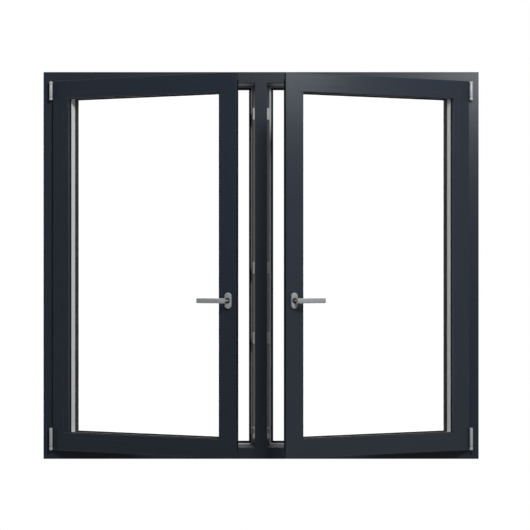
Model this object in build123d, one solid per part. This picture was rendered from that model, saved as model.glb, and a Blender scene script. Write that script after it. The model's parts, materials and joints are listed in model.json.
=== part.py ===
from build123d import *
import os

# Aluminium window with two inward-opening sashes and a fixed mullion, in millimetres.
# X runs along the width, Y runs from the room to the outside, Z is up.
# The origin is on the underside of the sill, at mid width and mid depth of the frame.

# Outer size of the fixed frame
WIDTH = 1800.0
HEIGHT = 1600.0
FRAME_DEPTH = 75.0

# Section of the frame members; depths count from the face on the room side
FRAME_FACE = 44.0
MULLION_FACE = 49.0
REBATE_WALL = 30.0
SHOULDER_RUN = 10.0
SHOULDER_RISE = 12.0
LEG_RISE = 4.0
LEG_REACH = 18.0
LIP_REACH = 23.0
LIP_THICKNESS = 8.0
ANCHOR_STRIP = 30.0
ANCHOR_GROOVE_WIDTH = 12.0
ANCHOR_GROOVE_DEPTH = 4.0

# Hardware groove, the same in the frame and in the sashes
GROOVE_MOUTH = 14.0
GROOVE_ROOM = 20.0
GROOVE_LIP = 2.5
GROOVE_DEPTH = 8.0
FRAME_GROOVE_AT = 14.0
SASH_GROOVE_AT = 26.0

# Drain slots in the outer face of the sill
DRAIN_LENGTH = 32.0
DRAIN_HEIGHT = 6.0
DRAIN_DEPTH = 9.0
DRAIN_RISE = 18.0
DRAIN_INSET = 160.0

# Section of the sash members
OVERLAP = 5.0
LOCK_OVERLAP = 9.5
FLANGE_GAP = 10.0
FLANGE_THICKNESS = 3.0
SASH_DEPTH = 80.0
HARDWARE_GAP = 16.0
BODY_SETBACK = 8.0
OUTER_LEG_GAP = 35.0
OUTER_LEG_REACH = 3.0
SASH_FACE = 73.0
EDGE_CHAMFER = 0.6

# Glazing
BEAD_WIDTH = 22.0
BEAD_DEPTH = 16.0
BEAD_PLATE = 7.0
BEAD_FOOT = 6.0
BEAD_NOSE = 10.0
BEAD_JOINT = 0.4
PANE = 4.0
CAVITY = 14.0
INNER_SEAL = 6.0
OUTER_SEAL = 4.0
SEAL_HEIGHT = 9.0
SEAL_SETBACK = 1.0
GLASS_EDGE_GAP = 6.0
SPACER_HEIGHT = 9.0
SPACER_SETBACK = 0.5

# Rubber seals between sash and frame
SEAL_GAP = 0.5
REBATE_SEAL_REACH = 8.0
REBATE_SEAL_FOOT = 3.0
REBATE_SEAL_LIP = 3.0
OVERLAP_SEAL_WIDTH = 3.0
OVERLAP_SEAL_INSET = 0.5

# Hinges; the axis stands outside the sash edge and proud of the frame face
OPENING_ANGLE = 26.0
AXIS_OUT = 6.0
AXIS_PROUD = 20.0
KNUCKLE_RADIUS = 7.0
LEAF_RADIUS = 6.5
BARREL_CHAMFER = 1.0
PIN_RADIUS = 3.0
PIN_CLEARANCE = 0.3
KNUCKLE_GAP = 0.5
TOP_HINGE_DROP = 2.5
TOP_BARREL = 76.5
TOP_KNUCKLE = 12.0
BOTTOM_BARREL = 91.0
BOTTOM_KNUCKLE = 15.0
BOTTOM_PIN = 40.0
WEB_BACK = 3.0
WEB_FRONT = 4.5
FRAME_WING = 2.0
FRAME_WING_DEPTH = 28.0
WING_WALL = 4.0
WING_END_GAP = 6.0
SASH_WING = 2.0
SASH_WING_DEPTH = 41.0
SEAL_NOTCH_MARGIN = 4.0

# Keeps on the mullion, and the lock gear whose pins slide behind them
KEEP_FROM_BOTTOM = 108.0
KEEPS_FROM_HANDLE = (-160.0, 130.0)
KEEP_FROM_TOP = 172.0
KEEP_LENGTH = 48.0
KEEP_PROUD = 10.0
KEEP_CHAMFER = 1.2
KEEP_FLOOR = 4.0
KEEP_RUN_IN = 5.0
KEEP_NOTCH = 22.0
KEEP_NOTCH_RISE = 5.0
LOCK_ROD_WIDTH = 18.0
LOCK_ROD_THICKNESS = 3.0
LOCK_ROD_END_GAP = 60.0
LOCK_PIN_RADIUS = 5.0
LOCK_PIN_REACH = 8.0
LOCK_PIN_GAP = 10.0

# Handle
HANDLE_HEIGHT = 661.0
HANDLE_INSET = 33.7
ROSETTE_WIDTH = 27.5
ROSETTE_HEIGHT = 63.0
ROSETTE_THICKNESS = 11.0
ROSETTE_EDGE = 2.5
WELL_RADIUS = 11.5
WELL_DEPTH = 5.0
NECK_RADIUS = 4.5
LEVER_LENGTH = 121.0
LEVER_HEIGHT = 20.0
LEVER_THICKNESS = 11.0
LEVER_CORNER = 3.0
LEVER_STANDOFF = 45.0
LEVER_START = (-4.0, -5.0)
GRIP_KNEES = ((24.0, 0.0), (51.0, -2.0), (66.0, -6.0))
GRIP_KNEE_RADIUS = 30.0
GRIP_END_RISE = -5.0
LEVER_END_CHAMFER = 1.5
HANDLE_GAP = 0.4
SPINDLE_RADIUS = 4.0
SPINDLE_LENGTH = 5.0

# Places worked out from the sizes above
ROOM_FACE = -FRAME_DEPTH / 2
LEG_DEPTH = FRAME_DEPTH - LIP_THICKNESS - REBATE_SEAL_FOOT
BODY_REAR = LEG_DEPTH - BODY_SETBACK
OPENING_WIDTH = WIDTH / 2 - FRAME_FACE - MULLION_FACE / 2
OPENING_HEIGHT = HEIGHT - 2 * FRAME_FACE
OPENING_X = -(MULLION_FACE / 2 + OPENING_WIDTH / 2)
OPENING_Z = HEIGHT / 2
SASH_FRONT = -(FLANGE_GAP + FLANGE_THICKNESS)
SASH_REAR = SASH_FRONT + SASH_DEPTH
SIGHTLINE = SASH_FACE - OVERLAP
PLATFORM = SIGHTLINE - BEAD_WIDTH
BEAD_REAR = SASH_FRONT + BEAD_DEPTH
GLASS_FRONT = BEAD_REAR + INNER_SEAL
GLASS_REAR = GLASS_FRONT + 3 * PANE + 2 * CAVITY
OUTER_LEG_FRONT = GLASS_REAR + OUTER_SEAL
AXIS_X = -WIDTH / 2 + FRAME_FACE - OVERLAP - AXIS_OUT
AXIS_Y = ROOM_FACE - AXIS_PROUD
SASH_TOP = OPENING_Z + OPENING_HEIGHT / 2 + OVERLAP
SASH_BOTTOM = OPENING_Z - OPENING_HEIGHT / 2 - OVERLAP
TOP_HINGE_TOP = SASH_TOP - TOP_HINGE_DROP
TOP_HINGE_BOTTOM = TOP_HINGE_TOP - TOP_BARREL
BOTTOM_HINGE_BOTTOM = SASH_BOTTOM
BOTTOM_HINGE_TOP = BOTTOM_HINGE_BOTTOM + BOTTOM_BARREL
MIDDLE_KEEPS = [HANDLE_HEIGHT + rise for rise in KEEPS_FROM_HANDLE]
KEEP_HEIGHTS = [KEEP_FROM_BOTTOM, *MIDDLE_KEEPS, HEIGHT - KEEP_FROM_TOP]
LOCK_PIN_RISE = KEEP_LENGTH / 2 + LOCK_PIN_GAP


def outline(points):
    """A closed face from corner points in the plane it is later placed on."""
    return make_face(Polyline(*points, close=True))


def block(x, y, z):
    """A box between the given pairs of coordinates."""
    size = (x[1] - x[0], y[1] - y[0], z[1] - z[0])
    centre = ((x[0] + x[1]) / 2, (y[0] + y[1]) / 2, (z[0] + z[1]) / 2)
    return Pos(*centre) * Box(*size)


def bar(section, length):
    """A bar along X from a section of (inward, depth) points, its zero line on Z = 0."""
    face = outline([(ROOM_FACE + depth, inward) for inward, depth in section])
    return extrude(Plane.YZ * face, length / 2, both=True)


def mitred_bar(section, length):
    """The bar with both ends cut at 45 degrees; the length is that of the zero line."""
    low = min(inward for inward, depth in section)
    high = max(inward for inward, depth in section)
    half = length / 2
    cut = outline([(-half + low, low), (half - low, low), (half - high, high), (high - half, high)])
    return bar(section, length - 2 * low) & extrude(Plane.XZ * cut, 2 * SASH_DEPTH, both=True)


def surround(section, width, height):
    """Bottom, left, top and right bars, mitred, round a rectangle centred on the Y axis."""
    sides = ((width, height, 0), (height, width, 90), (width, height, 180), (height, width, -90))
    return [Rot(0, turn, 0) * Pos(0, 0, -across / 2) * mitred_bar(section, along)
            for along, across, turn in sides]


def ring(section, width, height):
    """The four mitred bars joined into one loop."""
    bottom, left, top, right = surround(section, width, height)
    return bottom + left + top + right


def groove(wall, centre, sign):
    """Corner points of a hardware groove in a wall; sign says which way the wall's metal lies."""
    mouth, room = GROOVE_MOUTH / 2, GROOVE_ROOM / 2
    lip, floor = wall + sign * GROOVE_LIP, wall + sign * GROOVE_DEPTH
    return [(wall, centre - mouth), (lip, centre - mouth), (lip, centre - room), (floor, centre - room),
            (floor, centre + room), (lip, centre + room), (lip, centre + mouth), (wall, centre + mouth)]


def rebate_side(wall):
    """The stepped side of a frame member, from its room face to its outer face."""
    shoulder = wall + SHOULDER_RUN
    leg = wall + LEG_REACH
    lip = wall + LIP_REACH
    lip_front = FRAME_DEPTH - LIP_THICKNESS
    return [(wall, 0), *groove(wall, FRAME_GROOVE_AT, -1), (wall, REBATE_WALL),
            (shoulder, REBATE_WALL + SHOULDER_RISE), (shoulder, LEG_DEPTH - LEG_RISE), (leg, LEG_DEPTH),
            (leg, lip_front), (lip, lip_front), (lip, FRAME_DEPTH)]


def frame_section():
    """Frame member with two anchor grooves in its outer perimeter."""
    near = FRAME_DEPTH / 2 - ANCHOR_STRIP / 2
    far = FRAME_DEPTH / 2 + ANCHOR_STRIP / 2
    cut = ANCHOR_GROOVE_DEPTH
    perimeter = [(0, FRAME_DEPTH)]
    for start, end in ((far + ANCHOR_GROOVE_WIDTH, far), (near, near - ANCHOR_GROOVE_WIDTH)):
        perimeter += [(0, start), (cut, start), (cut, end), (0, end)]
    return [(0, 0), *rebate_side(FRAME_FACE), *perimeter]


def fixed_frame():
    """Sill, left jamb, head, right jamb, and the mullion coped between head and sill."""
    members = [Pos(0, 0, HEIGHT / 2) * side for side in surround(frame_section(), WIDTH, HEIGHT)]
    sill, left_jamb, head, right_jamb = members
    for side in (-1, 1):
        for reach in (DRAIN_INSET, OPENING_WIDTH - DRAIN_INSET):
            x = side * (MULLION_FACE / 2 + reach)
            slot = Rectangle(DRAIN_LENGTH, DRAIN_HEIGHT)
            face = Plane((x, FRAME_DEPTH / 2, DRAIN_RISE), x_dir=(1, 0, 0), z_dir=(0, -1, 0))
            sill -= extrude(face * slot, DRAIN_DEPTH)
    half = rebate_side(MULLION_FACE / 2)
    points = half + [(-x, depth) for x, depth in reversed(half)]
    section = outline([(x, ROOM_FACE + depth) for x, depth in points])
    mullion = Pos(0, 0, FRAME_FACE) * extrude(Plane.XY * section, OPENING_HEIGHT)
    return sill, left_jamb, head, right_jamb, mullion - sill - head


def rebate_seal():
    """The central rubber seal round the left opening, clipped on the legs of the frame."""
    leg, tip = LEG_REACH, LEG_REACH + REBATE_SEAL_REACH
    front = BODY_REAR + SEAL_GAP
    foot = LEG_DEPTH + REBATE_SEAL_FOOT
    section = [(leg, foot), (leg, LEG_DEPTH - REBATE_SEAL_LIP), (leg + REBATE_SEAL_LIP, front),
               (tip, front), (tip, front + REBATE_SEAL_LIP), (leg + REBATE_SEAL_LIP, foot)]
    return in_opening(ring(section, OPENING_WIDTH, OPENING_HEIGHT))


def sash_section():
    """Sash member without its bead: flange, body with hardware groove, outer leg."""
    edge = EDGE_CHAMFER
    flange_rear = -FLANGE_GAP
    outer_edge = SIGHTLINE + OUTER_LEG_REACH
    return [(-OVERLAP, SASH_FRONT + edge), (-OVERLAP + edge, SASH_FRONT), (PLATFORM, SASH_FRONT),
            (PLATFORM, OUTER_LEG_FRONT), (outer_edge, OUTER_LEG_FRONT), (outer_edge, SASH_REAR),
            (OUTER_LEG_GAP, SASH_REAR), (OUTER_LEG_GAP, BODY_REAR),
            (HARDWARE_GAP, BODY_REAR), *reversed(groove(HARDWARE_GAP, SASH_GROOVE_AT, 1)),
            (HARDWARE_GAP, flange_rear), (-OVERLAP, flange_rear)]


def lock_flange():
    """Strip that widens the flange of the lock stile, so that it covers more of the mullion."""
    wall = -MULLION_FACE / 2
    strip = block((wall + OVERLAP - EDGE_CHAMFER, wall + LOCK_OVERLAP),
                  (ROOM_FACE + SASH_FRONT, ROOM_FACE - FLANGE_GAP), (SASH_BOTTOM, SASH_TOP))
    corner = strip.edges().filter_by(Axis.Z).group_by(Axis.X)[-1].sort_by(Axis.Y)[0]
    return chamfer(corner, EDGE_CHAMFER)


def bead_section():
    """Clip-in glazing bead with a front plate, a foot on the platform and a nose at the glass."""
    edge = EDGE_CHAMFER
    plate = SASH_FRONT + BEAD_PLATE
    return [(PLATFORM, SASH_FRONT), (SIGHTLINE - edge, SASH_FRONT),
            (SIGHTLINE, SASH_FRONT + edge), (SIGHTLINE, BEAD_REAR), (SIGHTLINE - BEAD_NOSE, BEAD_REAR),
            (SIGHTLINE - BEAD_NOSE, plate), (PLATFORM + BEAD_FOOT, plate),
            (PLATFORM + BEAD_FOOT, BEAD_REAR), (PLATFORM, BEAD_REAR)]


def glazing_beads():
    """Two long beads across, and two cut square to fit between them."""
    section = bead_section()
    across = OPENING_WIDTH - 2 * PLATFORM
    upright = OPENING_HEIGHT - 2 * SIGHTLINE - 2 * BEAD_JOINT
    sides = ((across, OPENING_HEIGHT, 0), (upright, OPENING_WIDTH, 90),
             (across, OPENING_HEIGHT, 180), (upright, OPENING_WIDTH, -90))
    return [Rot(0, turn, 0) * Pos(0, 0, -span / 2) * bar(section, length) for length, span, turn in sides]


def rectangle_section(low, high, front, rear):
    """Section points of a plain strip."""
    return [(low, front), (high, front), (high, rear), (low, rear)]


def glass_panes():
    """Three panes of the sealed unit, from the room outwards."""
    edge = PLATFORM + GLASS_EDGE_GAP
    half_width = OPENING_WIDTH / 2 - edge
    half_height = OPENING_HEIGHT / 2 - edge
    fronts = [ROOM_FACE + GLASS_FRONT + i * (PANE + CAVITY) for i in range(3)]
    return [block((-half_width, half_width), (front, front + PANE), (-half_height, half_height))
            for front in fronts]


def glass_spacers():
    """Metal spacer frames between the panes."""
    high = SIGHTLINE - SPACER_SETBACK
    low = high - SPACER_HEIGHT
    fronts = [GLASS_FRONT + PANE + i * (PANE + CAVITY) for i in range(2)]
    return [ring(rectangle_section(low, high, front, front + CAVITY), OPENING_WIDTH, OPENING_HEIGHT)
            for front in fronts]


def glazing_seals():
    """Rubber seals between bead and glass, and between glass and outer leg."""
    high = SIGHTLINE - SEAL_SETBACK
    low = high - SEAL_HEIGHT
    return [ring(rectangle_section(low, high, front, rear), OPENING_WIDTH, OPENING_HEIGHT)
            for front, rear in ((BEAD_REAR, GLASS_FRONT), (GLASS_REAR, OUTER_LEG_FRONT))]


def overlap_seal():
    """Rubber seal behind the flange, notched where the hinge wings pass."""
    low = -OVERLAP + OVERLAP_SEAL_INSET
    section = rectangle_section(low, low + OVERLAP_SEAL_WIDTH, -FLANGE_GAP, -SEAL_GAP)
    wider = LOCK_OVERLAP - OVERLAP
    seal = Pos(wider / 2, 0, 0) * in_opening(ring(section, OPENING_WIDTH + wider, OPENING_HEIGHT))
    notch_x = (AXIS_X, AXIS_X + AXIS_OUT + OVERLAP + HARDWARE_GAP)
    notch_y = (ROOM_FACE - FLANGE_GAP, ROOM_FACE)
    margin = SEAL_NOTCH_MARGIN
    for low_z, high_z in ((BOTTOM_HINGE_BOTTOM, BOTTOM_HINGE_TOP), (TOP_HINGE_BOTTOM, TOP_HINGE_TOP)):
        seal -= block(notch_x, notch_y, (low_z - margin, high_z + margin))
    return seal


def in_opening(shape):
    """Moves a shape made round the Y axis to the middle of the left opening."""
    return Pos(OPENING_X, 0, OPENING_Z) * shape


def barrel(radius, low, high):
    """An upright round piece on the hinge axis."""
    return Pos(AXIS_X, AXIS_Y, (low + high) / 2) * Cylinder(radius, high - low)


def knuckle(radius, low, high, foot, cap=None):
    """A hinge knuckle with a web that reaches back to a foot depth; the end at the cap height is chamfered."""
    web = block((AXIS_X - WEB_BACK, AXIS_X + WEB_FRONT), (AXIS_Y, ROOM_FACE + foot), (low, high))
    round_part = barrel(radius, low, high)
    if cap is not None:
        ends = round_part.edges().filter_by(GeomType.CIRCLE).sort_by(Axis.Z)
        round_part = chamfer(ends[-1 if cap == high else 0], BARREL_CHAMFER)
    return round_part + web


def frame_bracket(knuckles, pin, wall):
    """Fixed half of a hinge: capped knuckles with a pin, wings on the face, a plate in the rebate."""
    rebate_x = -WIDTH / 2 + FRAME_FACE
    wing_x = (AXIS_X - WEB_BACK, rebate_x + WING_WALL)
    bracket = barrel(PIN_RADIUS, *pin)
    for low, high, cap in knuckles:
        bracket += knuckle(KNUCKLE_RADIUS, low, high, 0, cap)
    for low, high in wall[1]:
        bracket += block(wing_x, (ROOM_FACE - FRAME_WING, ROOM_FACE), (low, high))
    plate_x = (rebate_x, rebate_x + WING_WALL)
    return bracket + block(plate_x, (ROOM_FACE - FRAME_WING, ROOM_FACE + FRAME_WING_DEPTH), wall[0])


def frame_brackets():
    """Top bracket with a knuckle at each end, bottom bracket with one knuckle and a pivot pin."""
    rebate_top = HEIGHT - FRAME_FACE - WING_END_GAP
    rebate_bottom = FRAME_FACE + WING_END_GAP
    upper = (TOP_HINGE_TOP - TOP_KNUCKLE, TOP_HINGE_TOP)
    lower = (TOP_HINGE_BOTTOM, TOP_HINGE_BOTTOM + TOP_KNUCKLE)
    top_wings = [(rebate_top - TOP_KNUCKLE, TOP_HINGE_TOP), lower]
    top_knuckles = ((*upper, TOP_HINGE_TOP), (*lower, TOP_HINGE_BOTTOM))
    top = frame_bracket(top_knuckles, (lower[1], upper[0]), ((TOP_HINGE_BOTTOM, rebate_top), top_wings))
    base = (BOTTOM_HINGE_BOTTOM, BOTTOM_HINGE_BOTTOM + BOTTOM_KNUCKLE)
    pin = (base[1], base[1] + BOTTOM_PIN)
    base_wing = [(BOTTOM_HINGE_BOTTOM, rebate_bottom + TOP_KNUCKLE)]
    base_knuckle = (*base, BOTTOM_HINGE_BOTTOM)
    bottom = frame_bracket((base_knuckle,), pin, ((rebate_bottom, BOTTOM_HINGE_TOP), base_wing))
    return [bottom, top]


def sash_leaf(low, high, bore_high, wing, cap=None):
    """Moving half of a hinge: bored barrel, wing behind the flange, plate on the sash body."""
    leaf = knuckle(LEAF_RADIUS, low, high, SASH_WING - FLANGE_GAP, cap)
    body_x = AXIS_X + AXIS_OUT + OVERLAP + HARDWARE_GAP
    wing_rear = ROOM_FACE - FLANGE_GAP + SASH_WING
    leaf += block((AXIS_X - WEB_BACK, body_x), (ROOM_FACE - FLANGE_GAP, wing_rear), wing)
    body_plate = (ROOM_FACE - FLANGE_GAP, ROOM_FACE - FLANGE_GAP + SASH_WING_DEPTH)
    leaf += block((body_x - SASH_WING, body_x), body_plate, wing)
    return leaf - barrel(PIN_RADIUS + PIN_CLEARANCE, low, bore_high)


def sash_leaves():
    """The bottom leaf turns on a blind bore, the top leaf sits between two knuckles."""
    body_bottom = SASH_BOTTOM + OVERLAP + HARDWARE_GAP
    body_top = SASH_TOP - OVERLAP - HARDWARE_GAP
    low = BOTTOM_HINGE_BOTTOM + BOTTOM_KNUCKLE + KNUCKLE_GAP
    blind = low + BOTTOM_PIN + PIN_CLEARANCE
    wing = (body_bottom + WING_END_GAP, BOTTOM_HINGE_TOP)
    bottom = sash_leaf(low, BOTTOM_HINGE_TOP, blind, wing, BOTTOM_HINGE_TOP)
    low = TOP_HINGE_BOTTOM + TOP_KNUCKLE + KNUCKLE_GAP
    high = TOP_HINGE_TOP - TOP_KNUCKLE - KNUCKLE_GAP
    top = sash_leaf(low, high, high, (low, body_top - WING_END_GAP))
    return [bottom, top]


def keeps():
    """Keeps clipped on the left side of the mullion; the lowest is notched, the others have a run-in."""
    wall = -MULLION_FACE / 2
    near = ROOM_FACE + FRAME_GROOVE_AT - GROOVE_MOUTH / 2
    far = near + GROOVE_MOUTH
    outer = (wall - KEEP_PROUD, wall - KEEP_FLOOR)
    pieces = []
    for height in KEEP_HEIGHTS:
        low, high = height - KEEP_LENGTH / 2, height + KEEP_LENGTH / 2
        keep = block((wall - KEEP_PROUD, wall), (near, far), (low, high))
        keep = chamfer(keep.faces().sort_by(Axis.X)[0].edges(), KEEP_CHAMFER)
        if height == KEEP_FROM_BOTTOM:
            middle = height + KEEP_NOTCH_RISE
            keep -= block(outer, (near, far), (middle - KEEP_NOTCH / 2, middle + KEEP_NOTCH / 2))
        else:
            keep -= block(outer, (far - KEEP_RUN_IN, far), (height, high))
        pieces.append(keep)
    return pieces


def lock_gear():
    """Sliding rod held behind the groove lips, with a round pin above each keep."""
    side = -(MULLION_FACE / 2 + HARDWARE_GAP)
    centre = ROOM_FACE + SASH_GROOVE_AT
    rod_x = (side - GROOVE_LIP - LOCK_ROD_THICKNESS, side - GROOVE_LIP)
    rod_y = (centre - LOCK_ROD_WIDTH / 2, centre + LOCK_ROD_WIDTH / 2)
    ends = (SASH_BOTTOM + LOCK_ROD_END_GAP, SASH_TOP - LOCK_ROD_END_GAP)
    gear = block(rod_x, rod_y, ends)
    for height in KEEP_HEIGHTS:
        seat = Plane((rod_x[1], centre, height + LOCK_PIN_RISE), x_dir=(0, 1, 0), z_dir=(1, 0, 0))
        gear += extrude(seat * Circle(LOCK_PIN_RADIUS), GROOVE_LIP + LOCK_PIN_REACH)
    return gear


def handle_plane(rise):
    """Plane on the sash face at the handle, facing the room, its X away from the lock side."""
    x = -(MULLION_FACE / 2 - LOCK_OVERLAP + HANDLE_INSET)
    y = ROOM_FACE + SASH_FRONT - rise
    return Plane((x, y, HANDLE_HEIGHT), x_dir=(-1, 0, 0), z_dir=(0, -1, 0))


def rosette():
    """Oval handle plate with a round well and a blind bore for the spindle."""
    oval = SlotOverall(ROSETTE_HEIGHT, ROSETTE_WIDTH, rotation=90)
    plate = extrude(handle_plane(0) * oval, ROSETTE_THICKNESS)
    plate = chamfer(plate.faces().sort_by(Axis.Y)[0].edges(), ROSETTE_EDGE)
    well = handle_plane(ROSETTE_THICKNESS - WELL_DEPTH)
    plate -= extrude(well * Circle(WELL_RADIUS), WELL_DEPTH)
    bore = SPINDLE_LENGTH + HANDLE_GAP
    return plate - extrude(well * Circle(SPINDLE_RADIUS + PIN_CLEARANCE), -bore)


def lever():
    """Handle lever: spindle and round neck in the well, and a grip whose waves are (along, rise) knees."""
    floor = ROSETTE_THICKNESS - WELL_DEPTH + HANDLE_GAP
    reach = LEVER_STANDOFF - floor
    waves = (LEVER_START, *GRIP_KNEES, (LEVER_LENGTH, GRIP_END_RISE))
    path = FilletPolyline(*[(along, 0, reach + rise) for along, rise in waves], radius=GRIP_KNEE_RADIUS)
    section = chamfer(Rectangle(LEVER_HEIGHT, LEVER_THICKNESS).vertices(), LEVER_CORNER)
    grip = sweep(Plane(origin=path @ 0, x_dir=(0, 1, 0), z_dir=path % 0) * section, path=path)
    ends = grip.faces().sort_by(Axis.X)
    grip = chamfer(ends[0].edges() + ends[-1].edges(), LEVER_END_CHAMFER)
    grip += extrude(Plane.XY * Circle(NECK_RADIUS), reach + LEVER_START[1])
    grip += extrude(Plane.XY * Circle(SPINDLE_RADIUS), -SPINDLE_LENGTH)
    return handle_plane(floor).location * grip


def opened(shape):
    """Turns a piece of the left sash about the hinge axis to its opened position."""
    axis = Pos(AXIS_X, AXIS_Y, 0)
    return axis * Rot(0, 0, -OPENING_ANGLE) * axis.inverse() * shape


def left_sash():
    """Every piece of the left sash by name, in the closed position."""
    members = [in_opening(side) for side in surround(sash_section(), OPENING_WIDTH, OPENING_HEIGHT)]
    members[3] += lock_flange() - members[0] - members[2]
    names = ("sash_bottom_rail", "sash_hinge_stile", "sash_top_rail", "sash_lock_stile")
    pieces = {name: [member] for name, member in zip(names, members)}
    pieces["glazing_beads"] = [in_opening(bead) for bead in glazing_beads()]
    pieces["glass_panes"] = [in_opening(pane) for pane in glass_panes()]
    pieces["glass_spacers"] = [in_opening(spacer) for spacer in glass_spacers()]
    pieces["glazing_seals"] = [in_opening(seal) for seal in glazing_seals()]
    pieces["overlap_seal"] = [overlap_seal()]
    pieces["hinge_leaves"] = sash_leaves()
    pieces["lock_gear"] = [lock_gear()]
    pieces["handle_rosette"] = [rosette()]
    pieces["handle_lever"] = [lever()]
    return pieces


def save(name, shapes):
    """Writes the solids of one node."""
    solids = [solid for shape in shapes for solid in shape.solids()]
    export_step(Compound(children=solids) if len(solids) > 1 else solids[0], f"parts/{name}.step")


def save_pair(name, shapes):
    """Writes a piece of the left half and its mirror image for the right half."""
    save("left_" + name, shapes)
    save("right_" + name, [mirror(shape, about=Plane.YZ) for shape in shapes])


os.makedirs("parts", exist_ok=True)
frame_names = ("frame_sill", "frame_left_jamb", "frame_head", "frame_right_jamb", "mullion")
for frame_name, member in zip(frame_names, fixed_frame()):
    save(frame_name, [member])
save_pair("rebate_seal", [rebate_seal()])
save_pair("hinge_brackets", frame_brackets())
save_pair("keeps", keeps())
for piece_name, piece_shapes in left_sash().items():
    save_pair(piece_name, [opened(shape) for shape in piece_shapes])
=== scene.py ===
import json
import math
import bmesh
import bpy
from mathutils import Matrix, Vector

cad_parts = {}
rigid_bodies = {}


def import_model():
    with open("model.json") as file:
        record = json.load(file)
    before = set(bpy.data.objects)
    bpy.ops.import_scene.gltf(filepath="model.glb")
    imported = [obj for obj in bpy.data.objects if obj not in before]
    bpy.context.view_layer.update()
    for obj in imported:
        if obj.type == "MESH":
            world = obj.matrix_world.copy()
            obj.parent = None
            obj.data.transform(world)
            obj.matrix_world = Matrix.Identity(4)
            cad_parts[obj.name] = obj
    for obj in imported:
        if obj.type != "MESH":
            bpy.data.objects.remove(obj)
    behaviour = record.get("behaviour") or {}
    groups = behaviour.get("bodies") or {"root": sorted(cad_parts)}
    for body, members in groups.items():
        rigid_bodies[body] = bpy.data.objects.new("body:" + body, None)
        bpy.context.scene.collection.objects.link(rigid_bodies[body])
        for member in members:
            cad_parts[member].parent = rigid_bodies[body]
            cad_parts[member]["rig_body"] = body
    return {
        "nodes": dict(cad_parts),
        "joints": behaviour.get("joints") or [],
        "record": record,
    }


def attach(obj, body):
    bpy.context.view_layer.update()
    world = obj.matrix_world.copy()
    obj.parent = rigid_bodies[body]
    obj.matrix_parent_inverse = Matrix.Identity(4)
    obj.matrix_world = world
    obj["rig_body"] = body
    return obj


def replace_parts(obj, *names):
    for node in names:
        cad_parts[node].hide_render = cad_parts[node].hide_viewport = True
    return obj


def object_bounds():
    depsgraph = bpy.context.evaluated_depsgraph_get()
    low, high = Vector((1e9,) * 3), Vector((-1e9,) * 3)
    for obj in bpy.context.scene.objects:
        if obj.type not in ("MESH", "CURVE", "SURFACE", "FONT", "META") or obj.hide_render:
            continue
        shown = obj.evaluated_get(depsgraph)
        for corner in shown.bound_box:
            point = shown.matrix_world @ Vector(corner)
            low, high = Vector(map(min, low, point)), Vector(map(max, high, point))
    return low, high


# Aluminium window with two inward-opening sashes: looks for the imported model, in metres.
# Small parts are laid out in millimetres on the closed left half, then swung open and mirrored.

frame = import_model()
cad_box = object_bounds()
nodes = frame["nodes"]
joints = {joint["name"]: joint for joint in frame["joints"]}

MM = 0.001
SIDES = ("left", "right")
HINGE = Vector(joints["left_sash_turn"]["pos_m"])
OPEN = math.radians(-joints["left_sash_turn"]["range_deg"][0])
SWING = Matrix.Translation(HINGE) @ Matrix.Rotation(-OPEN, 4, "Z") @ Matrix.Translation(-HINGE)
SPINDLE = SWING.inverted() @ Vector(joints["left_handle_turn"]["pos_m"])
MIRROR = Matrix.Scale(-1, 4, (1, 0, 0))


def millimetres(place):
    """A place in metres turned to millimetres, to the tenth that it was drawn to."""
    return [round(value / MM, 1) for value in place]


# Places that the frame gives, on the closed left half
LEFT_END = millimetres(cad_box[0])[0]
OUTER_FACE, TOP_END = millimetres(cad_box[1])[1:]
ROOM_FACE = -OUTER_FACE
HINGE_X, HINGE_Y = millimetres(HINGE)[:2]
SPINDLE_X, SASH_FRONT, SPINDLE_Z = millimetres(SPINDLE)

# Profiles; inward counts from the edge of the opening, depth from the room face
FRAME_FACE = 44.0
MULLION_FACE = 49.0
JAMB_EDGE = LEFT_END + FRAME_FACE
MULLION_EDGE = -MULLION_FACE / 2
SILL_EDGE = FRAME_FACE
HEAD_EDGE = TOP_END - FRAME_FACE
SASH_GAP = 16.0
HINGE_SIDE = JAMB_EDGE + SASH_GAP
LOCK_SIDE = MULLION_EDGE - SASH_GAP
SIGHTLINE = 68.0
GLASS_FRONT = 9.0
OUTER_LEG_FRONT = 53.0
OUTER_LEG_EDGE = 71.0
SASH_REAR = 67.0
HAIR = 0.05

# Black strip of painted shade on the free side of the lock stile
EDGE_STRIP_THICKNESS = 0.8
EDGE_STRIP_DEPTHS = (36.0, 55.5)
EDGE_STRIP_END_GAP = 17.0

# Handle; the well's floor and the grub screw lie this far out from the front of the sash
WELL_FLOOR = 6.0
GRUB_SCREW_OUT = 17.0
NECK_RADIUS = 4.5

# Keeps and lock pins
KEEP_FROM_BOTTOM = 108.0
KEEPS_FROM_HANDLE = (-160.0, 130.0)
KEEP_FROM_TOP = 172.0
MIDDLE_KEEPS = [SPINDLE_Z + rise for rise in KEEPS_FROM_HANDLE]
KEEP_HEIGHTS = [KEEP_FROM_BOTTOM, *MIDDLE_KEEPS, TOP_END - KEEP_FROM_TOP]
KEEP_PROUD = 10.0
KEEP_SCREW_DEPTH = 12.0
KEEP_SCREW_RISES = (-17.0, 19.0)
LOCK_PIN_REACH = 8.0
LOCK_PIN_DEPTH = 26.0
LOCK_PIN_RISE = 34.0

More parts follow.
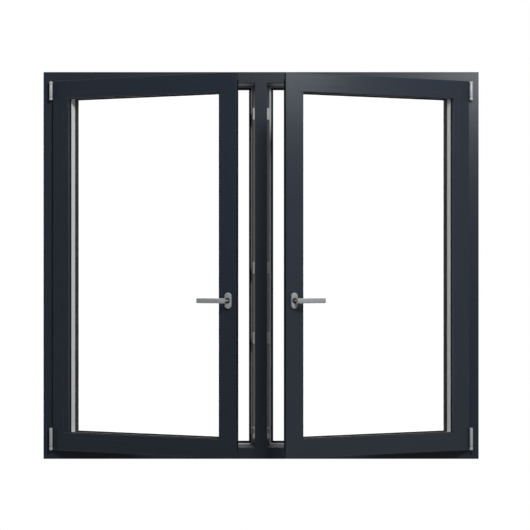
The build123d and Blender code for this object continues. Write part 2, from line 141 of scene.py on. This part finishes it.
# Hinges
BARREL_RADIUS = 7.0
BARREL_MARGIN = 0.3
BRACKET_PLATE = 4.0
BRACKET_SCREW_DEPTH = 14.5
BRACKET_SCREW_HEIGHTS = (66.0, 112.0, 1498.0, 1534.0)
LEAF_PLATE = 2.0
LEAF_SCREW_DEPTH = 19.5
LEAF_SCREW_HEIGHTS = (80.0, 116.0, 1504.0, 1525.0)
KNUCKLE_JOINT_HEIGHTS = (54.0, 1494.0)
COLLAR_DROP = 0.8
COLLAR_HEIGHT = 1.2
COLLAR_CLEARANCE = 0.03
COLLAR_PROUD = 0.25
PIN_BOTTOM = 39.0
PIN_TOP = 1558.5

# Ways that a part can face, and the place of a part that is made where it belongs
TO_ROOM = (0, -1, 0)
TO_JAMB = (-1, 0, 0)
TO_MULLION = (1, 0, 0)
UP = (0, 0, 1)
DOWN = (0, 0, -1)
IN_PLACE = [((0, 0, 0), None)]


# Materials

# Sockets that go by number, since a Mix node has several of one name
FACTOR = 0
NUMBER_A, NUMBER_B = 2, 3
COLOUR_A, COLOUR_B = 6, 7
MIXED_COLOUR = 2
# Sockets of a Map Range node, in their order
VALUE, FROM_LOW, FROM_HIGH, TO_LOW, TO_HIGH = range(5)


def srgb(code):
    """Linear colour of a hex sRGB code."""
    parts = [int(code[i:i + 2], 16) / 255 for i in (1, 3, 5)]
    return [c / 12.92 if c <= 0.04045 else ((c + 0.055) / 1.055) ** 2.4 for c in parts] + [1.0]


def per_mm(size):
    """Texture scale at which one feature is this many millimetres across."""
    return 1000.0 / size


def add(tree, kind, inputs=None, **settings):
    """Adds a node with its settings; an input is a plain value, an output, or a node's first output."""
    node = tree.nodes.new(kind)
    for name, value in settings.items():
        setattr(node, name, value)
    for key, value in (inputs or {}).items():
        source = value.outputs[0] if isinstance(value, bpy.types.Node) else value
        if isinstance(source, bpy.types.NodeSocket):
            tree.links.new(source, node.inputs[key])
        else:
            node.inputs[key].default_value = source
    return node


def start(name):
    """A new material with an empty node tree, and its object coordinates."""
    made = bpy.data.materials.new(name)
    made.use_nodes = True
    made.node_tree.nodes.clear()
    where = add(made.node_tree, "ShaderNodeTexCoord").outputs["Object"]
    return made, made.node_tree, where


def powder_coat():
    # Powder-coated aluminium, sprayed dry and baked: an even satin skin, so the eye gets a dark
    # blue-grey with broad soft reflections, slightly broken up by fine orange peel.
    made, tree, where = start("powder_coated_aluminium")
    cloud = add(tree, "ShaderNodeTexNoise", {"Vector": where, "Scale": per_mm(220), "Detail": 3.0})
    colour = add(tree, "ShaderNodeMix",
                 {FACTOR: cloud, COLOUR_A: srgb("#1e2631"), COLOUR_B: srgb("#222a35")}, data_type="RGBA")
    # Orange peel is about 1 mm across; it is drawn at 2.5 mm to show in a close view.
    peel = add(tree, "ShaderNodeTexNoise", {"Vector": where, "Scale": per_mm(2.5), "Detail": 2.0})
    rough = add(tree, "ShaderNodeMapRange",
                {VALUE: peel, FROM_LOW: 0.3, FROM_HIGH: 0.7, TO_LOW: 0.335, TO_HIGH: 0.398})
    bump = add(tree, "ShaderNodeBump", {"Strength": 0.10, "Distance": 0.4 * MM, "Height": peel})
    shader = add(tree, "ShaderNodeBsdfPrincipled", {
        "Base Color": colour.outputs[MIXED_COLOUR], "Roughness": rough, "Normal": bump, "IOR": 1.5})
    add(tree, "ShaderNodeOutputMaterial", {"Surface": shader})
    return made


def extruded_rubber():
    # EPDM rubber, extruded: a matt black that takes a faint grey bloom and shows only soft edges.
    made, tree, where = start("extruded_epdm_rubber")
    bloom = add(tree, "ShaderNodeTexNoise", {"Vector": where, "Scale": per_mm(30), "Detail": 4.0})
    colour = add(tree, "ShaderNodeMix",
                 {FACTOR: bloom, COLOUR_A: srgb("#050506"), COLOUR_B: srgb("#0d0e0f")}, data_type="RGBA")
    skin = add(tree, "ShaderNodeTexNoise", {"Vector": where, "Scale": per_mm(0.8), "Detail": 2.0})
    bump = add(tree, "ShaderNodeBump", {"Strength": 0.2, "Distance": 0.2 * MM, "Height": skin})
    shader = add(tree, "ShaderNodeBsdfPrincipled", {
        "Base Color": colour.outputs[MIXED_COLOUR], "Roughness": 0.7, "Normal": bump,
        "IOR": 1.5, "Specular IOR Level": 0.15})
    add(tree, "ShaderNodeOutputMaterial", {"Surface": shader})
    return made


def float_glass():
    # Float glass: flat and so clear that the eye gets only its edges and the slow waviness of the
    # float bath.
    made, tree, where = start("clear_float_glass")
    wave = add(tree, "ShaderNodeTexNoise", {"Vector": where, "Scale": per_mm(260), "Detail": 1.0})
    colour = add(tree, "ShaderNodeMix",
                 {FACTOR: wave, COLOUR_A: srgb("#feffff"), COLOUR_B: srgb("#ffffff")}, data_type="RGBA")
    bump = add(tree, "ShaderNodeBump", {"Strength": 0.05, "Distance": 1.0 * MM, "Height": wave})
    shader = add(tree, "ShaderNodeBsdfPrincipled", {
        "Base Color": colour.outputs[MIXED_COLOUR], "Roughness": 0.0, "Normal": bump,
        "IOR": 1.45, "Transmission Weight": 1.0})
    add(tree, "ShaderNodeOutputMaterial", {"Surface": shader})
    return made


def metal(name, colours, roughness, grain_mm, bump_strength, metallic):
    """A metal with a fine isotropic grain that sways its colour, roughness and surface."""
    made, tree, where = start(name)
    cloud = add(tree, "ShaderNodeTexNoise", {"Vector": where, "Scale": per_mm(25), "Detail": 3.0})
    colour = add(tree, "ShaderNodeMix",
                 {FACTOR: cloud, COLOUR_A: srgb(colours[0]), COLOUR_B: srgb(colours[1])}, data_type="RGBA")
    grain = add(tree, "ShaderNodeTexNoise", {"Vector": where, "Scale": per_mm(grain_mm), "Detail": 2.0})
    rough = add(tree, "ShaderNodeMapRange",
                {VALUE: grain, FROM_LOW: 0.3, FROM_HIGH: 0.7, TO_LOW: roughness[0], TO_HIGH: roughness[1]})
    bump = add(tree, "ShaderNodeBump", {"Strength": bump_strength, "Distance": 0.2 * MM, "Height": grain})
    shader = add(tree, "ShaderNodeBsdfPrincipled", {
        "Base Color": colour.outputs[MIXED_COLOUR], "Metallic": metallic, "Roughness": rough,
        "Normal": bump, "Specular IOR Level": 0.25})
    add(tree, "ShaderNodeOutputMaterial", {"Surface": shader})
    return made


def plastic(name, colours, grain_mm):
    """A plastic with the fine grain of its tool, which sways its colour and breaks its dull sheen."""
    made, tree, where = start(name)
    grain = add(tree, "ShaderNodeTexNoise", {"Vector": where, "Scale": per_mm(grain_mm), "Detail": 2.0})
    colour = add(tree, "ShaderNodeMix",
                 {FACTOR: grain, COLOUR_A: srgb(colours[0]), COLOUR_B: srgb(colours[1])}, data_type="RGBA")
    bump = add(tree, "ShaderNodeBump", {"Strength": 0.3, "Distance": 0.2 * MM, "Height": grain})
    shader = add(tree, "ShaderNodeBsdfPrincipled", {
        "Base Color": colour.outputs[MIXED_COLOUR], "Roughness": 0.5, "Normal": bump, "IOR": 1.53})
    add(tree, "ShaderNodeOutputMaterial", {"Surface": shader})
    return made


# Polyamide, injection moulded: black with a spark-eroded texture, so its sheen stays dull.
BLACK_PLASTIC = plastic("moulded_black_polyamide", ("#0b0b0c", "#161617"), grain_mm=0.5)
# Polyamide, extruded for the thermal break: a matt neutral grey beside the bluish coat, made light enough
# that it also paints the sheen that the rebate's slopes catch.
GREY_PLASTIC_AND_SHEEN = plastic("grey_polyamide_and_painted_sheen", ("#9a9b9c", "#a3a4a4"), grain_mm=0.9)
# Rolled aluminium strip, mill finish: pale, its fine scratches scatter the light like a bright paint.
SPACER = metal("rolled_mill_finish_aluminium", ("#dedfdf", "#e5e6e6"), (0.40, 0.52),
               grain_mm=1.5, bump_strength=0.1, metallic=0.1)
# Aluminium hinge covers, silver coated: flakes in the lacquer give a light and a dark side.
HINGE_SILVER = metal("silver_coated_hinge_aluminium", ("#afb1b3", "#b9bbbc"), (0.32, 0.40),
                     grain_mm=0.8, bump_strength=0.06, metallic=0.2)
# Zinc, die cast and tumbled: a duller grey with a slightly mottled skin.
KEEP_ZINC = metal("tumbled_die_cast_zinc", ("#9e9e9d", "#aaaaa9"), (0.42, 0.55),
                  grain_mm=1.2, bump_strength=0.15, metallic=0.2)
# Steel, zinc plated: cool grey with a brighter, slightly blotchy shine.
LOCK_STEEL = metal("zinc_plated_steel", ("#94989c", "#b3b6b8"), (0.28, 0.42),
                   grain_mm=1.0, bump_strength=0.08, metallic=0.8)
# Aluminium, blasted and anodised silver: an even satin grey whose soft sheen rolls over the bends.
HANDLE_SATIN = metal("blasted_silver_anodised_aluminium", ("#9a9b9c", "#a2a3a4"), (0.34, 0.42),
                     grain_mm=0.6, bump_strength=0.08, metallic=0.15)

FINISH = {
    "coated_aluminium": powder_coat(),
    "window_glass": float_glass(),
    "spacer_aluminium": SPACER,
    "seal_rubber": extruded_rubber(),
    "hinge_metal": HINGE_SILVER,
    "keep_zinc": KEEP_ZINC,
    "lock_steel": LOCK_STEEL,
    "handle_aluminium": HANDLE_SATIN,
    "black_plastic": BLACK_PLASTIC,
    "grey_plastic": GREY_PLASTIC_AND_SHEEN,
}
SLOT_OF = {part["node"]: part["material_slot"] for part in frame["record"]["subparts"]}
for name, node in nodes.items():
    node.data.materials.clear()
    node.data.materials.append(FINISH[SLOT_OF[name]])


# Making pieces

# Corners this close are one: in metres on copies of CAD nodes, in millimetres on new parts
SAME_CORNER = 1e-6
SAME_CORNER_MM = 1e-3
# Edges that turn less than the first are smooth, and those that turn less than the second vanish
SMOOTH_BELOW = math.radians(35)
FLAT_WITHIN = math.radians(0.3)


def piece(bm, name, body, slot, flat_mm=None):
    """Turns a bmesh into a named object that rides on a body, smooth except at sharp edges.

    Faces broader than flat_mm stay flat, so that only the broken edges between them turn the light.
    """
    for face in bm.faces:
        breadth = 2 * face.calc_area() / face.calc_perimeter()
        face.smooth = flat_mm is None or breadth < flat_mm * MM
    for edge in bm.edges:
        edge.smooth = len(edge.link_faces) == 2 and edge.calc_face_angle() < SMOOTH_BELOW
    mesh = bpy.data.meshes.new(name)
    bm.to_mesh(mesh)
    bm.free()
    mesh.materials.append(FINISH[slot])
    obj = bpy.data.objects.new(name, mesh)
    bpy.context.scene.collection.objects.link(obj)
    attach(obj, body)
    return obj


def softened(node, width, segments, sharp_deg=25, flat_mm=None, coated=None):
    """A copy of a CAD node with its sharp edges broken, which stands for the node.

    Faces that the coated test picks become a coated piece of their own.
    """
    bm = bmesh.new()
    bm.from_mesh(nodes[node].data)
    bmesh.ops.remove_doubles(bm, verts=bm.verts, dist=SAME_CORNER)
    bmesh.ops.dissolve_limit(bm, angle_limit=FLAT_WITHIN, verts=bm.verts, edges=bm.edges)
    sharp = [edge for edge in bm.edges
             if len(edge.link_faces) == 2 and edge.calc_face_angle() > math.radians(sharp_deg)]
    bmesh.ops.bevel(bm, geom=sharp, offset=width * MM, offset_type="OFFSET", affect="EDGES",
                    segments=segments, profile=0.5, material=-1, clamp_overlap=True)
    body = nodes[node]["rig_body"]
    if coated:
        rest = bm.copy()
        bmesh.ops.delete(bm, geom=[face for face in bm.faces if coated(face)], context="FACES")
        bmesh.ops.delete(rest, geom=[face for face in rest.faces if not coated(face)], context="FACES")
        piece(rest, node + "_wings", body, "coated_aluminium", flat_mm=flat_mm)
    made = piece(bm, node + "_finished", body, SLOT_OF[node], flat_mm=flat_mm)
    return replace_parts(made, node)


def off_barrel(face):
    """Tells a face of a hinge's wings and webs from one of its round barrel."""
    middle = face.calc_center_median()
    out = math.hypot(abs(middle.x) - abs(HINGE.x), middle.y - HINGE.y)
    return out > (BARREL_RADIUS + BARREL_MARGIN) * MM


def fitted(name, make, places, body, slot):
    """Sets copies of a part at (place, facing) on the closed left half, one object for each side.

    A part with no facing keeps the turn it was made with.
    """
    for side in SIDES:
        whole = bmesh.new()
        for where, facing in places:
            bm = make()
            turn = Vector(facing).to_track_quat("Z", "Y").to_matrix().to_4x4() if facing else Matrix()
            bm.transform(Matrix.Scale(MM, 4) @ Matrix.Translation(where) @ turn)
            if body != "frame":
                bm.transform(SWING)
            if side == "right":
                bm.transform(MIRROR)
            bmesh.ops.recalc_face_normals(bm, faces=bm.faces)
            mesh = bpy.data.meshes.new("part")
            bm.to_mesh(mesh)
            bm.free()
            whole.from_mesh(mesh)
            bpy.data.meshes.remove(mesh)
        rider = body if body == "frame" else f"{side}_{body}"
        piece(whole, f"{side}_{name}", rider, slot)


def turned(profile, steps):
    """A turned part about Z from (radius, height) points."""
    bm = bmesh.new()
    verts = [bm.verts.new((radius, 0, height)) for radius, height in profile]
    edges = [bm.edges.new(pair) for pair in zip(verts, verts[1:])]
    bmesh.ops.spin(bm, geom=verts + edges, cent=(0, 0, 0), axis=(0, 0, 1), angle=math.tau,
                   steps=steps, use_merge=True)
    bmesh.ops.remove_doubles(bm, verts=bm.verts, dist=SAME_CORNER_MM)
    return bm


def strip_ring(section):
    """A strip of (inward, depth) points laid round the left opening, mitred at its corners.

    The section is drawn at the lower left corner; each corner mirrors the one before.
    """
    middle = Matrix.Translation(((JAMB_EDGE + MULLION_EDGE) / 2, 0, (SILL_EDGE + HEAD_EDGE) / 2))
    across = middle @ MIRROR @ middle.inverted()
    upward = middle @ Matrix.Scale(-1, 4, (0, 0, 1)) @ middle.inverted()
    bm = bmesh.new()
    verts = [bm.verts.new((JAMB_EDGE + inward, ROOM_FACE + depth, SILL_EDGE + inward))
             for inward, depth in section]
    edges = [bm.edges.new(pair) for pair in zip(verts, verts[1:] + verts[:1])]
    for mirror in (across, upward, across, upward):
        made = bmesh.ops.extrude_edge_only(bm, edges=edges)["geom"]
        verts = [part for part in made if isinstance(part, bmesh.types.BMVert)]
        edges = [part for part in made if isinstance(part, bmesh.types.BMEdge) and part.is_boundary]
        bmesh.ops.transform(bm, matrix=mirror, verts=verts)
    bmesh.ops.remove_doubles(bm, verts=bm.verts, dist=SAME_CORNER_MM)
    return bm


# Small parts

def leg_strip():
    """Grey insulating strip of the thermal break, on the slope of the rebate's leg; its light grey is
    partly painted sheen of the lit rebate.
    """
    return strip_ring([(10.4, 60.2), (17.6, 63.8), (17.8, 63.2), (10.6, 59.6)])


def inner_gasket_lip():
    """Lip of the inner glazing gasket, on the panes' room side."""
    root, tip = SIGHTLINE - 1.1, SIGHTLINE + 2.2
    seat = GLASS_FRONT - HAIR
    return strip_ring([(root, seat - 2.45), (root, seat), (tip, seat), (tip, seat - 0.45)])


def outer_gasket_lip():
    """Lip of the outer glazing gasket, over the edge of the outer leg."""
    root, edge, face = SIGHTLINE - 0.8, OUTER_LEG_EDGE + HAIR, OUTER_LEG_EDGE + 1.3
    seat = OUTER_LEG_FRONT - HAIR
    front, rear = seat - 0.65, SASH_REAR - 0.2
    return strip_ring([(root, front), (root, seat), (edge, seat),
                       (edge, rear), (face, rear), (face, front)])


def stile_edge_shade_strip():
    """Black rubber sheet on the free side of the lock stile, behind the hardware groove: painted shade
    that keeps this side dark.
    """
    front, rear = EDGE_STRIP_DEPTHS
    low = Vector((LOCK_SIDE, ROOM_FACE + front, SILL_EDGE + EDGE_STRIP_END_GAP))
    high = Vector((LOCK_SIDE + EDGE_STRIP_THICKNESS, ROOM_FACE + rear, HEAD_EDGE - EDGE_STRIP_END_GAP))
    bm = bmesh.new()
    bmesh.ops.create_cube(bm, size=1.0, matrix=Matrix.LocRotScale((low + high) / 2, None, high - low))
    return bm


def handle_bearing_ring_and_shade():
    """Black bearing ring of the handle, in the well of the rosette round the lever's neck; its black is
    also painted shade that darkens the well.
    """
    return turned([(5.0, 0), (11.3, 0), (11.3, 1.5), (10.8, 2.0), (5.5, 2.0), (5.0, 1.5), (5.0, 0)], 40)


def handle_grub_screw():
    """Grub screw that holds the lever on its spindle, on the underside of the neck."""
    return turned([(1.7, -1.2), (1.7, 0.1), (1.2, 0.1), (1.2, -0.7), (0, -0.7)], 16)


def lock_pin_head():
    """Mushroom head of a lock pin, its top at zero."""
    return turned([(0, -2.2), (6.7, -2.2), (7.0, -1.9), (7.0, -0.6), (6.3, 0), (0, 0)], 32)


def socket_screw():
    """A low screw head with a hexagon socket, facing +Z from its seat at zero."""
    # Rim and top edge of the head, then mouth and floor of the socket
    rings = ((24, 3.7, 0.0), (24, 3.4, 0.7), (6, 1.9, 0.9), (6, 1.9, 0.1))
    bm = bmesh.new()
    loops = []
    for corners, radius, height in rings:
        ring = bmesh.ops.create_circle(bm, segments=corners, radius=radius, cap_ends=False,
                                       matrix=Matrix.Translation((0, 0, height)))["verts"]
        loops.append([edge for edge in bm.edges if all(vert in ring for vert in edge.verts)])
    for lower, upper in zip(loops, loops[1:]):
        bmesh.ops.bridge_loops(bm, edges=lower + upper)
    bmesh.ops.edgeloop_fill(bm, edges=loops[-1])
    return bm


def hinge_collar():
    """Black collar over the joint of a hinge's lower knuckle."""
    inner, outer = BARREL_RADIUS + COLLAR_CLEARANCE, BARREL_RADIUS + COLLAR_PROUD
    return turned([(inner, 0), (outer, 0), (outer, COLLAR_HEIGHT), (inner, COLLAR_HEIGHT), (inner, 0)], 40)


def hinge_pin_end():
    """Domed end of a hinge pin."""
    return turned([(3.4, 0), (3.4, 0.6), (2.7, 1.1), (0, 1.3)], 24)


# Dressing the window

# How the sharp edges of each slot's nodes are broken, in millimetres. On coated members this also
# draws the fine joint lines at the mitres.
BROKEN_EDGES = {
    "coated_aluminium": {"width": 0.3, "segments": 2, "flat_mm": 1.0},
    "keep_zinc": {"width": 0.35, "segments": 2, "flat_mm": 1.0},
    "hinge_metal": {"width": 0.35, "segments": 2, "coated": off_barrel},
    "handle_aluminium": {"width": 0.7, "segments": 3, "sharp_deg": 20},
}
for name, slot in SLOT_OF.items():
    if slot in BROKEN_EDGES:
        softened(name, **BROKEN_EDGES[slot])

# Only camera and transmitted rays meet the panes, so that no light is lost in their shadow.
for side in SIDES:
    panes = nodes[f"{side}_glass_panes"]
    panes.visible_shadow = False
    panes.visible_diffuse = False
    panes.visible_glossy = False

# The grey strips are made light enough to paint the sheen on the rebate's slopes.
fitted("leg_strips", leg_strip, IN_PLACE, "frame", "grey_plastic")
fitted("inner_gasket_lips", inner_gasket_lip, IN_PLACE, "sash", "seal_rubber")
fitted("outer_gasket_lips", outer_gasket_lip, IN_PLACE, "sash", "seal_rubber")
# The black strip on the lock stile's free side is painted shade.
fitted("stile_edge_shade_strip", stile_edge_shade_strip, IN_PLACE, "sash", "seal_rubber")
# The black ring in the handle's well is partly painted shade.
fitted("handle_bearing_ring_and_shade", handle_bearing_ring_and_shade,
       [((SPINDLE_X, SASH_FRONT - WELL_FLOOR, SPINDLE_Z), TO_ROOM)], "sash", "black_plastic")
fitted("handle_grub_screw", handle_grub_screw,
       [((SPINDLE_X, SASH_FRONT - GRUB_SCREW_OUT, SPINDLE_Z - NECK_RADIUS), DOWN)], "lever", "lock_steel")
fitted("lock_pin_heads", lock_pin_head,
       [((LOCK_SIDE + LOCK_PIN_REACH, ROOM_FACE + LOCK_PIN_DEPTH, height + LOCK_PIN_RISE), TO_MULLION)
        for height in KEEP_HEIGHTS], "sash", "lock_steel")
fitted("keep_screws", socket_screw,
       [((MULLION_EDGE - KEEP_PROUD, ROOM_FACE + KEEP_SCREW_DEPTH, height + rise), TO_JAMB)
        for height in KEEP_HEIGHTS for rise in KEEP_SCREW_RISES], "frame", "lock_steel")
fitted("bracket_screws", socket_screw,
       [((JAMB_EDGE + BRACKET_PLATE, ROOM_FACE + BRACKET_SCREW_DEPTH, height), TO_MULLION)
        for height in BRACKET_SCREW_HEIGHTS], "frame", "lock_steel")
fitted("leaf_screws", socket_screw,
       [((HINGE_SIDE - LEAF_PLATE, ROOM_FACE + LEAF_SCREW_DEPTH, height), TO_JAMB)
        for height in LEAF_SCREW_HEIGHTS], "sash", "lock_steel")
fitted("hinge_collars", hinge_collar,
       [((HINGE_X, HINGE_Y, height - COLLAR_DROP), UP) for height in KNUCKLE_JOINT_HEIGHTS],
       "frame", "black_plastic")
fitted("hinge_pin_ends", hinge_pin_end,
       [((HINGE_X, HINGE_Y, PIN_TOP), UP), ((HINGE_X, HINGE_Y, PIN_BOTTOM), DOWN)], "frame", "hinge_metal")


# Stage

# Levels of the studio's light, where 1 is white
SOFT_SIDE, SOFT_TOP, SOFT_FLOOR = 0.11, 0.25, 0.45
BAND_SIDE, BAND_TOP = 1.5, 2.6
ROOM_AHEAD, ROOM_ASIDE, ROOM_LOW = 0.09, 0.15, 0.16
BEHIND = 0.04
PANE_SHEEN = 0.03
WHITE, WHITE_THROUGH_GLASS = 1.0, 1.35
# How much brighter they are to the right or, below zero, to the left
SOFT_LEAN, BAND_LEAN, ROOM_LEAN = 0.45, -0.45, 0.75
# Where the band of light runs, by a ray's Y: its middle, and how far its core and its fading reach
BAND_AT, BAND_CORE, BAND_REACH = 0.12, 0.18, 0.38

# One key light made by two lamps, since its matt light is much stronger than its sheen on the coat,
# and a small glow on the coat in the upper right corner
KEY = {"place": (1.02, -3.9, 3.35), "target": (0, -0.2, 1.0), "size": 0.9}
CORNER_GLOW = {"place": (1.04, -1.15, 1.72), "target": (0.7, 0, 1.55), "size": 0.25}

FLOOR_DROP = 0.9
FLOOR_RADIUS = 2.4
CAMERA_DISTANCE = 8.0275
MIDDLE_HEIGHT = TOP_END * MM / 2


def lamp(name, power, place, target, size, **visibility):
    """A square soft light that looks at a point."""
    data = bpy.data.lights.new(name, "AREA")
    data.size = size
    data.energy = power
    obj = bpy.data.objects.new(name, data)
    obj.location = place
    obj.rotation_euler = (Vector(target) - Vector(place)).to_track_quat("-Z", "Y").to_euler()
    for flag, value in visibility.items():
        setattr(obj, flag, value)
    bpy.context.scene.collection.objects.link(obj)


def studio():
    """White to straight rays; to others a dim room with a band of light round the window."""
    world = bpy.data.worlds.new("studio")
    bpy.context.scene.world = world
    world.use_nodes = True
    # Its light depends on the kind of ray, so it isn't sampled as a lamp.
    world.cycles.sampling_method = "NONE"
    tree = world.node_tree
    tree.nodes.clear()
    ray = add(tree, "ShaderNodeLightPath").outputs
    heading = add(tree, "ShaderNodeTexCoord").outputs["Generated"]
    across, depth, height = add(tree, "ShaderNodeSeparateXYZ", {"Vector": heading}).outputs
    # Soft light for matt surfaces: from above, and thrown back by the floor.
    above = add(tree, "ShaderNodeMapRange",
                {VALUE: height, FROM_LOW: -0.5, FROM_HIGH: 1.0, TO_LOW: SOFT_SIDE, TO_HIGH: SOFT_TOP})
    below = add(tree, "ShaderNodeMapRange",
                {VALUE: height, FROM_LOW: -1.0, FROM_HIGH: -0.2, TO_LOW: SOFT_FLOOR, TO_HIGH: 0.0})
    both = add(tree, "ShaderNodeMath", {0: above, 1: below}, operation="MAXIMUM")
    aside = add(tree, "ShaderNodeMath", {0: across, 1: SOFT_LEAN, 2: 1.0}, operation="MULTIPLY_ADD")
    soft = add(tree, "ShaderNodeMath", {0: both, 1: aside}, operation="MULTIPLY")
    # What shiny surfaces mirror: a band of light round the window, brighter above and below,
    # a dim room in front, and darkness behind.
    beside = add(tree, "ShaderNodeMath", {0: depth, 1: BAND_AT}, operation="SUBTRACT")
    off = add(tree, "ShaderNodeMath", {0: beside}, operation="ABSOLUTE")
    band = add(tree, "ShaderNodeMapRange",
               {VALUE: off, FROM_LOW: BAND_CORE, FROM_HIGH: BAND_REACH, TO_LOW: 1.0, TO_HIGH: 0.0},
               interpolation_type="SMOOTHSTEP")
    steep = add(tree, "ShaderNodeMath", {0: height}, operation="ABSOLUTE")
    level = add(tree, "ShaderNodeMapRange",
                {VALUE: steep, FROM_LOW: 0.0, FROM_HIGH: 1.0, TO_LOW: BAND_SIDE, TO_HIGH: BAND_TOP})
    lit = add(tree, "ShaderNodeMath", {0: across, 1: BAND_LEAN, 2: level}, operation="MULTIPLY_ADD")
    front = add(tree, "ShaderNodeMapRange",
                {VALUE: depth, FROM_LOW: -1.0, FROM_HIGH: -0.5, TO_LOW: ROOM_AHEAD, TO_HIGH: ROOM_ASIDE})
    low = add(tree, "ShaderNodeMapRange",
              {VALUE: height, FROM_LOW: -0.5, FROM_HIGH: 0.1, TO_LOW: ROOM_LOW, TO_HIGH: 0.0})
    near = add(tree, "ShaderNodeMath", {0: front, 1: low}, operation="ADD")
    slant = add(tree, "ShaderNodeMath", {0: across, 1: ROOM_LEAN, 2: 1.0}, operation="MULTIPLY_ADD")
    dim = add(tree, "ShaderNodeMath", {0: near, 1: slant}, operation="MULTIPLY")
    outside = add(tree, "ShaderNodeMath", {0: depth, 1: 0.0}, operation="GREATER_THAN")
    far = add(tree, "ShaderNodeMix", {FACTOR: outside, NUMBER_A: dim, NUMBER_B: BEHIND})
    shiny = add(tree, "ShaderNodeMix", {FACTOR: band, NUMBER_A: far, NUMBER_B: lit})
    room = add(tree, "ShaderNodeMix", {FACTOR: ray["Is Glossy Ray"], NUMBER_A: soft, NUMBER_B: shiny})
    # A ray mirrored by a pane sees a faint even sheen. A straight one sees white, stronger behind glass,
    # which makes up for what the panes mirror away.
    seen = add(tree, "ShaderNodeMath", {0: ray["Is Camera Ray"], 1: ray["Is Transmission Ray"]},
               operation="MAXIMUM")
    straight = add(tree, "ShaderNodeMath", {0: seen, 1: ray["Glossy Depth"]},
                   operation="SUBTRACT", use_clamp=True)
    white = add(tree, "ShaderNodeMix",
                {FACTOR: ray["Is Transmission Ray"], NUMBER_A: WHITE, NUMBER_B: WHITE_THROUGH_GLASS})
    mirrored = add(tree, "ShaderNodeMix",
                   {FACTOR: ray["Is Singular Ray"], NUMBER_A: room, NUMBER_B: PANE_SHEEN})
    shown = add(tree, "ShaderNodeMix", {FACTOR: straight, NUMBER_A: mirrored, NUMBER_B: white})
    back = add(tree, "ShaderNodeBackground", {"Color": shown, "Strength": 1.0})
    add(tree, "ShaderNodeOutputWorld", {"Surface": back})


def pale_floor():
    """A round pale floor as far below the sill as in a room, since a wall holds the window."""
    made, tree, where = start("pale_plain_floor")
    cloud = add(tree, "ShaderNodeTexNoise", {"Vector": where, "Scale": per_mm(900), "Detail": 2.0})
    colour = add(tree, "ShaderNodeMix",
                 {FACTOR: cloud, COLOUR_A: srgb("#f2f2f1"), COLOUR_B: srgb("#f6f6f6")}, data_type="RGBA")
    shader = add(tree, "ShaderNodeBsdfPrincipled", {
        "Base Color": colour.outputs[MIXED_COLOUR], "Roughness": 0.9, "Specular IOR Level": 0.1})
    add(tree, "ShaderNodeOutputMaterial", {"Surface": shader})
    bm = bmesh.new()
    bmesh.ops.create_circle(bm, cap_ends=True, segments=96, radius=FLOOR_RADIUS,
                            matrix=Matrix.Translation((0, 0, -FLOOR_DROP)))
    mesh = bpy.data.meshes.new("floor")
    bm.to_mesh(mesh)
    bm.free()
    mesh.materials.append(made)
    floor = bpy.data.objects.new("floor", mesh)
    floor.visible_diffuse = False
    floor.visible_glossy = False
    bpy.context.scene.collection.objects.link(floor)


def photo_camera():
    """Square on to the middle of the window, about 8 m away, with a long lens."""
    data = bpy.data.cameras.new("photo")
    data.sensor_width = 36.0
    data.lens = 131.21
    data.shift_x = 0.0074
    data.shift_y = 0.0009
    data.clip_end = 100.0
    camera = bpy.data.objects.new("photo", data)
    camera.location = (0, -CAMERA_DISTANCE, MIDDLE_HEIGHT)
    camera.rotation_euler = (math.radians(90), 0, 0)
    bpy.context.scene.collection.objects.link(camera)
    bpy.context.scene.camera = camera


studio()
pale_floor()
photo_camera()
lamp("key", power=190.0, **KEY, visible_glossy=False)
lamp("key_sheen", power=76.0, **KEY, visible_diffuse=False)
lamp("corner_glow", power=2.3, **CORNER_GLOW, visible_diffuse=False)
bpy.context.scene.view_settings.view_transform = "Standard"
